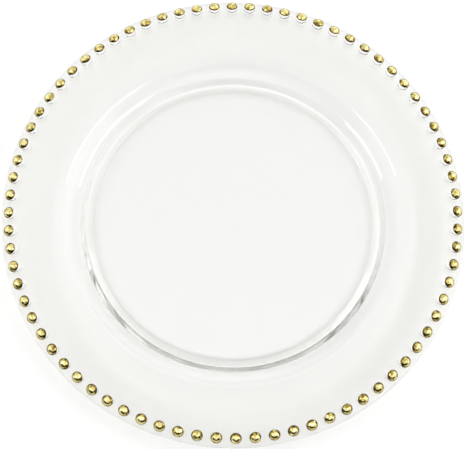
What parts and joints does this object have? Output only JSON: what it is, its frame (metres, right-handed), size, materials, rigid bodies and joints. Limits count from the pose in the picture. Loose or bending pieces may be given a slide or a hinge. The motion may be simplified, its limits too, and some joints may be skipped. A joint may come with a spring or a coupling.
{
  "type": "charger plate",
  "caption": "Round clear glass charger plate with a flat well, a low wall, a wide rising rim and a gilded beaded edge, standing on a foot ring.",
  "frame": {"origin": "centre of the plate, on the surface that the foot ring stands on", "axes": "+Z is the plate's axis, pointing up out of the well; one bead lies on -Y"},
  "size_m": [0.33, 0.33, 0.0322],
  "materials": {
    "clear_glass": "clear fire-polished pressed glass with a faint green-grey tone",
    "gold": "bright polished gold film"
  },
  "bodies": {
    "root": {"glass_plate": "clear_glass", "gold_caps": "gold"}
  },
  "joints": []
}
